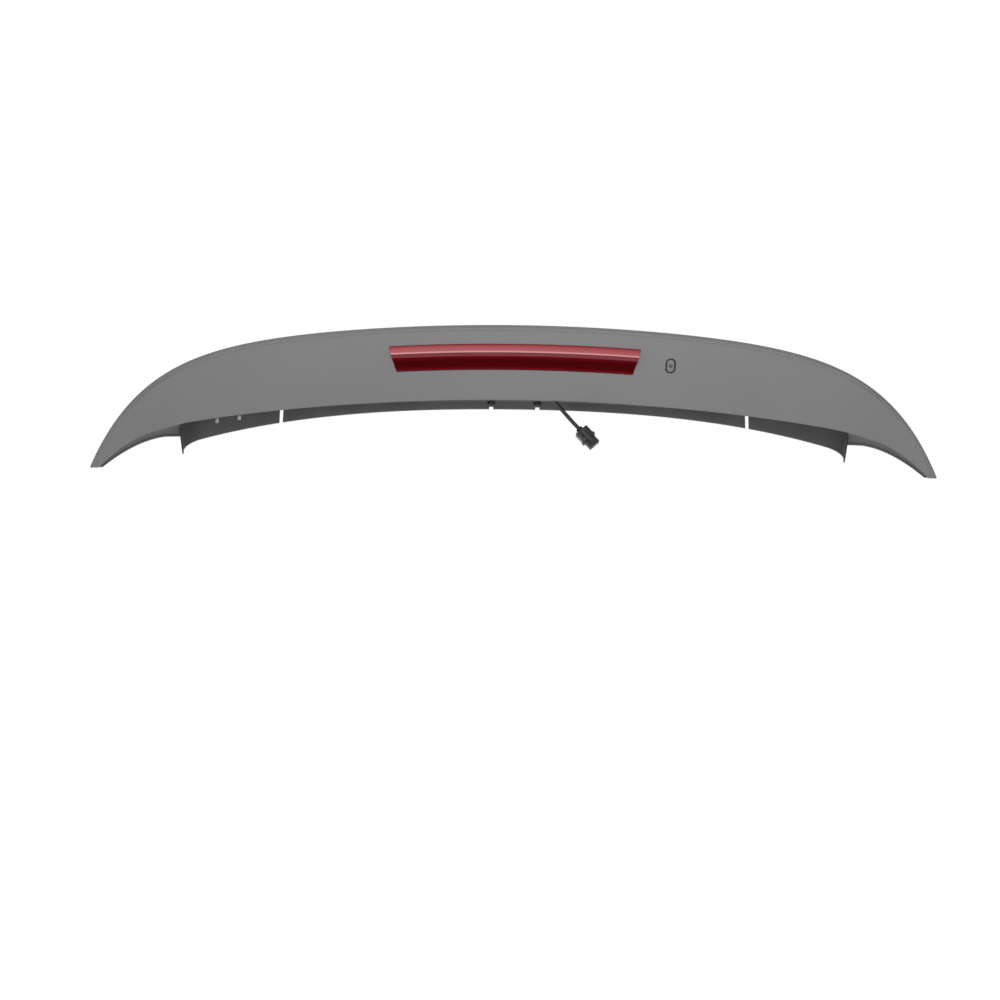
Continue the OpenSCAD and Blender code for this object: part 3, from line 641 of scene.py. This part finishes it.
def trailZ(x):  # height of the trailing edge
    u = share(x)
    return blade["rearRise"] - blade["tipFall"] * mix(u ** bend["fallPower"], u ** 2, bend["fallEarly"])


def topZ(x, y):  # outer face of the top skin
    rear = trailY(x)
    t = min(bend["pastTrail"], max(0, (leadBase(x) - y) / (leadBase(x) - rear)))
    return roofZ(x, y) + (trailZ(x) - roofZ(x, rear)) * t ** 2


def stretch(x, y):  # what a wall measures upright, for each mm across it
    here = topZ(x, y)
    return math.sqrt(1 + (topZ(x + 1, y) - here) ** 2 + (topZ(x, y + 1) - here) ** 2)


def underZ(x, y):  # inner face of the top skin
    return topZ(x, y) - blade["topWall"] * stretch(abs(x) - 1, y)


seamIn = blade["returnT"] + blade["seam"]
lowTurn = hornX - blade["lowTurn"]


def lowPast(x):  # share of the way from the turn to the tip
    return max(0, abs(x) - lowTurn) / (half - lowTurn)


def lowFrontY(x):
    plain = blade["frontReach"] - blade["lowSetback"]
    return (
        plain + blade["leadSweep"] * share(x) ** 2
        + (tipY - plain - blade["leadSweep"]) * lowPast(x) ** bend["lowSweepPower"]
    )


def lowFrontZ(x):
    depth = (
        blade["lowDepth"] + blade["lowGain"] * share(x) ** 2
        - blade["lowDepth"] * lowPast(x) ** bend["lowRisePower"]
    )
    return topZ(x, lowFrontY(x)) - depth


def lowRear(x):  # where the lower skin meets the lip, as y and z
    return Vector((trailIn(x, seamIn), topZ(x, trailY(x)) - lipDepth(x)))


def lowChord(x):  # from there to its front edge
    return Vector((lowFrontY(x), lowFrontZ(x))) - lowRear(x)


def lowPoint(x, v):  # point of its face, v of the way forward
    chord = lowChord(x)
    out = Vector((chord.y, -chord.x)).normalized()
    bulge = blade["lowCrown"] * (1 - share(x) ** bend["crownPower"]) * 4 * v * (1 - v)
    return lowRear(x) + chord * v + out * bulge


def lowLift(x):  # its wall, measured upright
    chord = lowChord(x)
    dx = topZ(abs(x), tipY) - topZ(abs(x) - 1, tipY)
    return blade["lowWall"] * math.sqrt(1 + (chord.y / chord.x) ** 2 + dx ** 2)


# top skin

grid = {"blade": 64, "corner": 14, "horn": 34, "rows": 34, "hornRows": 18, "hornEase": 0.92}
hornSteps = [
    0.5 - 0.5 * math.cos(math.pi * (k / grid["horn"]) ** grid["hornEase"])
    for k in range(1, grid["horn"] + 1)
]
sideCols = grid["blade"] + grid["corner"] + grid["horn"]


def halfColumn(n, inset):
    corner = blade["cornerR"]
    if n <= grid["blade"]:
        return (hornX - corner) * n / grid["blade"]
    if n <= grid["blade"] + grid["corner"]:
        turn = math.radians(90 * (n - grid["blade"]) / grid["corner"])
        return hornX - corner + (corner + inset) * math.sin(turn)
    step = hornSteps[n - grid["blade"] - grid["corner"] - 1]
    return hornX + inset + (blade["hornW"] - 2 * inset) * step


def column(i, inset):
    n = i - sideCols
    return math.copysign(halfColumn(abs(n), inset), n)


def skinY(x, inset, j):  # place of row j, from the trailing edge forward
    out = abs(x) >= hornX - near
    q = min(1, (abs(x) - hornX - inset) / (blade["hornW"] - 2 * inset))
    corner = leadBase(hornX) + blade["cornerR"]
    split = mix(corner, tipY, max(0, q)) if out else leadY(x, inset)
    if j <= grid["rows"]:
        return mix(trailIn(x, inset), split, j / grid["rows"])
    return mix(split, sideY(x, inset), (j - grid["rows"]) / grid["hornRows"]) if out else split


def hang(x, j):  # how far the rim hangs under the outer face
    side = (j - grid["rows"]) / grid["hornRows"]
    gain = (share(x) / bend["returnFull"]) ** bend["returnPower"]
    lead = blade["returnDepth"] + blade["returnGain"] * gain
    if j == 0:
        return lipDepth(x)
    if abs(x) < hornX - near:
        return lead
    if abs(x) < hornX + near:
        return mix(lead, blade["sideReturn"], side)
    return blade["sideReturn"]


def lean(x, j):  # how far it leans inwards there
    if j < grid["rows"] or abs(x) > hornX + blade["returnT"] + 10 * near:
        return 0
    turned = min(1, max(0, abs(x) - hornX + blade["cornerR"]) / blade["cornerR"])
    extra = max(0, hang(min(abs(x), hornX), j) - blade["sideReturn"])
    return math.copysign(blade["returnLean"] * extra * turned ** 2, x)


def lipSlope(x):
    chord = lowChord(x)
    return min(bend["seamSlope"], max(0, -chord.y / chord.x))


def lipLift(x, j, inset):
    return max(0, blade["returnT"] - inset) * lipSlope(x) if j == 0 else 0


def skinLayer(inset, height, leans=False):
    layer = []
    for i in range(2 * sideCols + 1):
        x, x0 = column(i, inset), column(i, 0)
        rows = []
        for j in range(grid["rows"] + grid["hornRows"] + 1):
            y = skinY(x, inset, j)
            lift = lipLift(x0, j, inset) if leans else 0
            rows.append((x - (lean(x, j) if leans else 0), y, height(x, y, x0, j) + lift))
        layer.append(rows)
    return layer


def rimDrop(drop):
    return lambda x, y, x0, j: topZ(x0, skinY(x0, 0, j)) - drop(x0, j)


edgeRound = [(2.0, 0), (1.3, 0.1), (0.72, 0.37), (0.29, 0.78), (0, 1.4)]  # inset and fall
footR = 0.5  # rounding of the return's foot
footMid = footR * 0.3
seamFall = {"mid": 0.02, "end": 0.05}  # that rounding at the trailing lip, where the seam is
topLayers = [
    skinLayer(inset, lambda x, y, x0, j, fall=fall: topZ(x, y) - fall) for inset, fall in edgeRound
]
topLayers += [
    skinLayer(0, rimDrop(lambda x, j: hang(x, j) - footR), True),
    skinLayer(footMid, rimDrop(lambda x, j: hang(x, j) - footMid), True),
    skinLayer(footR, rimDrop(hang), True),
    skinLayer(blade["returnT"] - footR, rimDrop(hang), True),
    skinLayer(
        blade["returnT"] - footMid,
        rimDrop(lambda x, j: hang(x, j) - (footMid if j else seamFall["mid"])), True,
    ),
    skinLayer(
        blade["returnT"],
        rimDrop(lambda x, j: hang(x, j) - (footR if j else seamFall["end"])), True,
    ),
    skinLayer(blade["returnT"], lambda x, y, x0, j: underZ(x, y)),
]
insideFrom = len(topLayers) - 3  # the layers from here on are the inside
skinSharp = 50  # edges sharper than this angle stay sharp


def topLive(i, j):
    wing = grid["horn"]
    return j < grid["rows"] or i < wing or i >= 2 * sideCols - wing


skinMaterials = (primer, primerPaintedShade)
topMesh = sheetMesh("topSkin", topLayers, skinMaterials, topLive, insideFrom)
clean(topMesh, skinSharp)

cutSpec = {
    "slotReach": 8.84,  # through the return, which leans
    "slotBelow": 2.0,  # past the return's foot
    "tip": (1600.0, 300.0, 60.0),
}


def slotCutter(x, width, height):
    foot = topZ(x, leadBase(x)) - hang(x, grid["rows"])
    below = cutSpec["slotBelow"]
    mid = Vector((x, leadBase(x) - blade["returnT"] / 2, foot + (height - below) / 2))
    size = (width, cutSpec["slotReach"], height + below)
    return blockCutter("slotCut", size, Matrix.Translation(mid * mm))


def tipCutter():
    foot = Vector((0, trailY(half), blade["tipFlat"]))
    drop = Vector((0, 0, -cutSpec["tip"][2] / 2))
    return blockCutter(
        "tipCut", cutSpec["tip"],
        Matrix.Translation(foot * mm)
        @ Matrix.Rotation(camSpec["below"], 4, "X")  # along the line of sight
        @ Matrix.Translation(drop * mm),
    )


topSkin = newObject("topSkin", topMesh)
cutBy(topSkin, tipCutter())
for side in (-1, 1):
    depth = hang(blade["slitX"], grid["rows"]) - blade["topWall"] - blade["edgeBevel"]
    cutBy(topSkin, slotCutter(side * blade["slitX"], blade["slitW"], depth))
    cutBy(topSkin, slotCutter(side * blade["notchX"], blade["notchW"], blade["notchH"]))
clean(topSkin.data, skinSharp)
standsFor(topSkin, "top_skin")
print("top skin made", len(topSkin.data.polygons))


# lower skin

lowGrid = {"rows": 30, "turn": 6}
fold = {  # the folded front edge: how far its points stand out and up from the face's end
    "faceEnd": 0.975, "topOut": 2.4,
    "kneeOut": 1.2, "kneeUp": -0.6, "endOut": 2.1, "endUp": 4.0,
    "innerKnee": 0.4, "innerKneeShare": 0.6, "innerEndOut": 2.2, "innerEndUp": 5.0,
}


def lowColumn(x, inner):
    lift = lowLift(x) if inner else 0
    foot = lowPoint(x, 1)
    wall = blade["lowWall"] if inner else 0
    points = []
    for j in range(lowGrid["rows"]):
        p = lowPoint(x, fold["faceEnd"] * j / (lowGrid["rows"] - 1))
        points.append((x, p.x, p.y + lift))
    start = Vector(points[-1][1:])
    if inner:
        back = wall + fold["innerKnee"]
        knee = foot + Vector((-back, lift + back * fold["innerKneeShare"]))
        end = foot + Vector((fold["innerEndOut"] - wall, fold["innerEndUp"]))
    else:
        knee = foot + Vector((fold["kneeOut"], fold["kneeUp"]))
        end = foot + Vector((fold["endOut"], fold["endUp"]))
    top = foot + Vector((fold["topOut"] - wall, blade["foldH"]))
    for k in range(1, lowGrid["turn"] + 1):
        t = k / lowGrid["turn"]
        p = start * (1 - t) ** 2 + knee * (2 * t * (1 - t)) + end * t ** 2
        points.append((x, p.x, p.y))
    points.append((x, top.x, top.y))
    return points


lowOrder = [column(2 * sideCols - i, seamIn) for i in range(2 * sideCols + 1)]
lowMesh = sheetMesh(
    "lowerSkin",
    [[lowColumn(x, False) for x in lowOrder], [lowColumn(x, True) for x in lowOrder]],
    skinMaterials, innerFrom=1,
)
clean(lowMesh, skinSharp)
lowerSkin = newObject("lowerSkin", lowMesh)
cutBy(lowerSkin, tipCutter())

lamp = {
    "len": 356.0, "h": 41.0, "t": 2.2, "brow": 6.0, "out": 10.0, "gap": 1.0,
    "cornerR": 2.0, "slant": 10.0,
    "v": 0.36,  # where its middle is across the face
    "seat": 4.15,  # depth of the tray's flange under the face
    "cut": 8.0, "cutSteps": 40, "cornerSteps": 5,
}
lensA = lamp["h"] / 2
lampDv = lensA / lowChord(0).length
lampStep = lowPoint(0, lamp["v"] + lampDv) - lowPoint(0, lamp["v"] - lampDv)
runA = lampStep.normalized()
runB = Vector((runA.y, -runA.x))


def lampAt(x, a, b):
    line = (lowPoint(x, lamp["v"] - lampDv) + lowPoint(x, lamp["v"] + lampDv)) / 2
    p = line + runA * a + runB * b
    return Vector((x, p.x, p.y))


def slanted(x, a):
    along = min(1, max(0, (a + lensA) / lamp["h"]))
    return x * (1 - 2 * lamp["slant"] / lamp["len"] * along)


def openingCutter():
    reach, reachA = lamp["len"] / 2 + lamp["gap"], lensA + lamp["gap"]
    cornerR, cornerSteps = lamp["cornerR"], lamp["cornerSteps"]
    outline = []
    for sx, sa, start in ((1, 1, 0), (-1, 1, 90), (-1, -1, 180), (1, -1, 270)):
        for k in range(cornerSteps + 1):
            turn = math.radians(start + 90 * k / cornerSteps)
            outline.append((
                sx * (reach - cornerR) + cornerR * math.cos(turn),
                sa * (reachA - cornerR) + cornerR * math.sin(turn),
            ))
    dense = []
    for k, p in enumerate(outline):
        q = outline[(k + 1) % len(outline)]
        cuts = lamp["cutSteps"] if abs(p[0] - q[0]) > reach else 1
        for c in range(cuts):
            dense.append((mix(p[0], q[0], c / cuts), mix(p[1], q[1], c / cuts)))
    rings = [
        [lampAt(slanted(x, a), a, b) for x, a in dense] for b in (-lamp["cut"], lamp["cut"])
    ]
    return prismCutter("lampCut", *rings)


cutBy(lowerSkin, openingCutter())

jet = {"fromLens": 44.0, "v": 0.37, "w": 15.0, "l": 25.0, "cut": 9.0, "steps": 14}
jetX = lamp["len"] / 2 + jet["fromLens"]
jetHere = lowPoint(jetX, jet["v"])
jetRise = (lowPoint(jetX + 1, jet["v"]) - jetHere).dot(runB)
lampTilt = math.atan2(-runB.x, runB.y)
jetFrame = (
    Matrix.Translation(Vector((jetX, jetHere.x, jetHere.y)))
    @ Matrix.Rotation(lampTilt, 4, "X")
    @ Matrix.Rotation(-math.atan(jetRise), 4, "Y")
)


def jetRing(z):
    w, l, steps = jet["w"], jet["l"], jet["steps"]
    ring = []
    for end in (1, -1):
        for k in range(steps + 1):
            turn = math.pi * k / steps + (0 if end > 0 else math.pi)
            y = end * (l - w) / 2 + w / 2 * math.sin(turn)
            ring.append(jetFrame @ Vector((w / 2 * math.cos(turn), y, z)))
    return ring


cutBy(lowerSkin, prismCutter("jetCut", jetRing(-jet["cut"]), jetRing(jet["cut"])))
clean(lowerSkin.data, skinSharp)
standsFor(lowerSkin, "lower_skin")
print("lower skin made", len(lowerSkin.data.polygons))


# lens: a steep upper facet, a narrow brow and a long lower facet

lensEdge = {
    "upper": -0.5, "lower": -0.8,  # heights over the face at which the facets end
    "round": 0.4,  # taken off the brow for its rounding
    "inBrow": 0.4, "inRidge": (0.3, -0.6),  # how the inner brow is moved
    "play": 0.03,  # over the tray's flange
    "sharp": 28,
}
crest = lamp["out"] - lensEdge["round"]
lensRun = (crest - lensEdge["lower"]) / -runB.y
browAt = Vector((-lensA - runA.y * lensRun, crest))
lensFoot = lensEdge["play"] - lamp["seat"]
wallDir = Vector((runA.x, runB.x)) * lamp["t"]
lensOuter = [
    (lensA, lensFoot), (lensA, lensEdge["upper"]), (browAt.x + lamp["brow"], browAt.y),
    tuple(browAt), (-lensA, lensEdge["lower"]), (-lensA, lensFoot),
]
lensInner = [
    (lensA - lamp["t"], lensFoot), (lensA - lamp["t"], lensEdge["upper"] - lamp["t"]),
    (browAt.x + lamp["brow"] - lensEdge["inBrow"], browAt.y - lamp["t"]),
    tuple(browAt + wallDir + Vector(lensEdge["inRidge"])),
    (-lensA + wallDir.x, lensEdge["lower"] + wallDir.y), (-lensA + lamp["t"], lensFoot),
]
lensCuts = [2, 8, 4, 8, 2]  # points on each side of the section
lensFacets = [2, 2, 1, 0, 0]  # material of each side: upper, brow, lower
lensSteps = 60


def cutSection(section):
    points = []
    for side, cuts in enumerate(lensCuts):
        a, b = section[side], section[side + 1]
        points += [(mix(a[0], b[0], k / cuts), mix(a[1], b[1], k / cuts)) for k in range(cuts)]
    return points + [section[-1]]


def lensLayer(section, reach):
    points = cutSection(section)
    layer = []
    for i in range(-1, lensSteps + 2):
        x = reach * (2 * min(lensSteps, max(0, i)) / lensSteps - 1)
        flat = i < 0 or i > lensSteps
        layer.append([
            lampAt(slanted(x, a), a, section[0][1] if flat else b) for a, b in points
        ])
    return layer


lensLayers = [
    lensLayer(lensOuter, lamp["len"] / 2), lensLayer(lensInner, lamp["len"] / 2 - lamp["t"])
]
lensMesh = sheetMesh("lampLens", lensLayers, (lensUpperPaintedLight, lensBrowPaintedLight, lensLowerPaintedLight))
lensPoints = sum(lensCuts) + 1
# the facet attribute along which the lens materials paint light and shade
corner = lensMesh.attributes.new("facet", "FLOAT", "CORNER")
for poly in lensMesh.polygons:
    rows = [lensMesh.loops[k].vertex_index % lensPoints for k in poly.loop_indices]
    side, start = 0, 0
    while side < len(lensCuts) - 1 and min(rows) >= start + lensCuts[side]:
        start += lensCuts[side]
        side += 1
    poly.material_index = lensFacets[side]
    for k, row in zip(poly.loop_indices, rows):
        corner.data[k].value = min(1, max(0, 1 - (row - start) / lensCuts[side]))
clean(lensMesh, lensEdge["sharp"])
standsFor(newObject("lampLens", lensMesh), "lamp_lens")
print("lens made", len(lensMesh.polygons))


# diodes along the board: one package and its window on each place, by Geometry Nodes

diode = {"length": 0.0035, "depth": 0.00132, "height": 0.0028, "window": 0.0009, "proud": 0.00024}
windowSides = 16


def islandCentres(node):
    work = bmesh.new()
    work.from_mesh(node.data)
    bmesh.ops.remove_doubles(work, verts=work.verts, dist=weld)
    left, centres = set(work.verts), []
    while left:
        stack = [left.pop()]
        found = [stack[0].co.copy()]
        while stack:
            for edge in stack.pop().link_edges:
                for vert in edge.verts:
                    if vert in left:
                        left.remove(vert)
                        stack.append(vert)
                        found.append(vert.co.copy())
        centres.append(sum(found, Vector()) / len(found))
    work.free()
    return sorted(centres, key=lambda c: c.x)


def diodeTree():
    tree = bpy.data.node_groups.new("diodeRow", "GeometryNodeTree")
    tree.interface.new_socket("Geometry", in_out="INPUT", socket_type="NodeSocketGeometry")
    sizes = {}
    for key in diode:
        sizes[key] = tree.interface.new_socket(key, in_out="INPUT", socket_type="NodeSocketFloat")
    mats = {}
    for key in ("package", "glow"):
        mats[key] = tree.interface.new_socket(
            key, in_out="INPUT", socket_type="NodeSocketMaterial"
        )
    tree.interface.new_socket("Geometry", in_out="OUTPUT", socket_type="NodeSocketGeometry")
    add, link = tree.nodes.new, tree.links.new
    given, out = add("NodeGroupInput"), add("NodeGroupOutput")

    size = add("ShaderNodeCombineXYZ")
    for axis, key in zip("XYZ", ("length", "depth", "height")):
        link(given.outputs[key], size.inputs[axis])
    package = add("GeometryNodeMeshCube")
    link(size.outputs[0], package.inputs["Size"])

    window = add("GeometryNodeMeshCylinder")
    window.inputs["Vertices"].default_value = windowSides
    link(given.outputs["window"], window.inputs["Radius"])
    link(given.outputs["depth"], window.inputs["Depth"])
    back = add("ShaderNodeMath")
    back.operation = "MULTIPLY"
    back.inputs[1].default_value = -1
    link(given.outputs["proud"], back.inputs[0])
    shift = add("ShaderNodeCombineXYZ")
    link(back.outputs[0], shift.inputs["Y"])
    stand = add("GeometryNodeTransform")
    link(window.outputs["Mesh"], stand.inputs["Geometry"])
    link(shift.outputs[0], stand.inputs["Translation"])
    stand.inputs["Rotation"].default_value = (math.pi / 2, 0, 0)
    marked = add("GeometryNodeStoreNamedAttribute")
    marked.data_type = "BOOLEAN"
    marked.domain = "FACE"
    marked.inputs["Name"].default_value = "glowing"
    marked.inputs["Value"].default_value = True
    link(stand.outputs[0], marked.inputs["Geometry"])

    joined = add("GeometryNodeJoinGeometry")
    link(package.outputs["Mesh"], joined.inputs[0])
    link(marked.outputs[0], joined.inputs[0])
    turn = add("GeometryNodeInputNamedAttribute")
    turn.data_type = "FLOAT"
    turn.inputs["Name"].default_value = "turn"
    angles = add("ShaderNodeCombineXYZ")
    link(turn.outputs["Attribute"], angles.inputs["Z"])
    rotation = add("FunctionNodeEulerToRotation")
    link(angles.outputs[0], rotation.inputs[0])
    placed = add("GeometryNodeInstanceOnPoints")
    link(given.outputs["Geometry"], placed.inputs["Points"])
    link(joined.outputs[0], placed.inputs["Instance"])
    link(rotation.outputs[0], placed.inputs["Rotation"])

    real = add("GeometryNodeRealizeInstances")
    link(placed.outputs[0], real.inputs[0])
    plain = add("GeometryNodeSetMaterial")
    link(real.outputs[0], plain.inputs["Geometry"])
    link(given.outputs["package"], plain.inputs["Material"])
    isGlowing = add("GeometryNodeInputNamedAttribute")
    isGlowing.data_type = "BOOLEAN"
    isGlowing.inputs["Name"].default_value = "glowing"
    bright = add("GeometryNodeSetMaterial")
    link(plain.outputs[0], bright.inputs["Geometry"])
    link(isGlowing.outputs["Attribute"], bright.inputs["Selection"])
    link(given.outputs["glow"], bright.inputs["Material"])
    link(bright.outputs[0], out.inputs[0])
    return tree, sizes, mats


diodeCentres = islandCentres(nodes["lamp_diodes"])
diodeMesh = bpy.data.meshes.new("lampDiodes")
diodeMesh.from_pydata([c + Vector((0, diode["proud"] / 2, 0)) for c in diodeCentres], [], [])
turnMarks = diodeMesh.attributes.new("turn", "FLOAT", "POINT")
for k, here in enumerate(diodeCentres):
    ahead = diodeCentres[min(k + 1, len(diodeCentres) - 1)] - diodeCentres[max(k - 1, 0)]
    turnMarks.data[k].value = math.atan2(ahead.y, ahead.x)
diodes = newObject("lampDiodes", diodeMesh)
tree, sizes, mats = diodeTree()
rowMod = diodes.modifiers.new("row", "NODES")
rowMod.node_group = tree
for key, socket in sizes.items():
    rowMod[socket.identifier] = diode[key]
rowMod[mats["package"].identifier] = diodeBody
rowMod[mats["glow"].identifier] = diodeGlow
applied(diodes)
diodes.data.materials.pop(index=0)  # the converted mesh keeps an empty first slot
standsFor(diodes, "lamp_diodes")
print("diodes made", len(diodeCentres), len(diodes.data.polygons), len(diodes.data.materials))


# clips and jet: the solids with rounded edges

rounded = {  # solid, material, slot and width of the rounding
    "centreClips": ("centre_clips", clipPlastic, "clip", 0.0003),
    "edgeClips": ("edge_clips", springSteel, "spring", 0.00015),
    "jetBody": ("jet_body", primer, "primer", 0.0003),
    "jetSeal": ("jet_seal", jetRubber, "jet_rubber", 0.0002),
}
for name, spec in rounded.items():
    roundedCopy(name, *spec)
print("clips and jet rounded")


# solids that keep their shape

kept = {
    "inner_carrier": carrierPlastic, "threaded_inserts": brass,
    "lamp_housing": blackPlastic, "lamp_reflector": mirrorFilm, "lamp_board": boardMask,
    "lamp_gasket": foam, "lamp_screws": steel,
    "lead_gland": leadSheath, "plug_seal": sealRubber, "plug_terminals": terminalTin,
    "jet_nozzle": primerPaintedShade,
}
for nodeName, material in kept.items():
    data = nodes[nodeName].data
    data.materials.clear()
    data.materials.append(material)
print("nodes dressed")
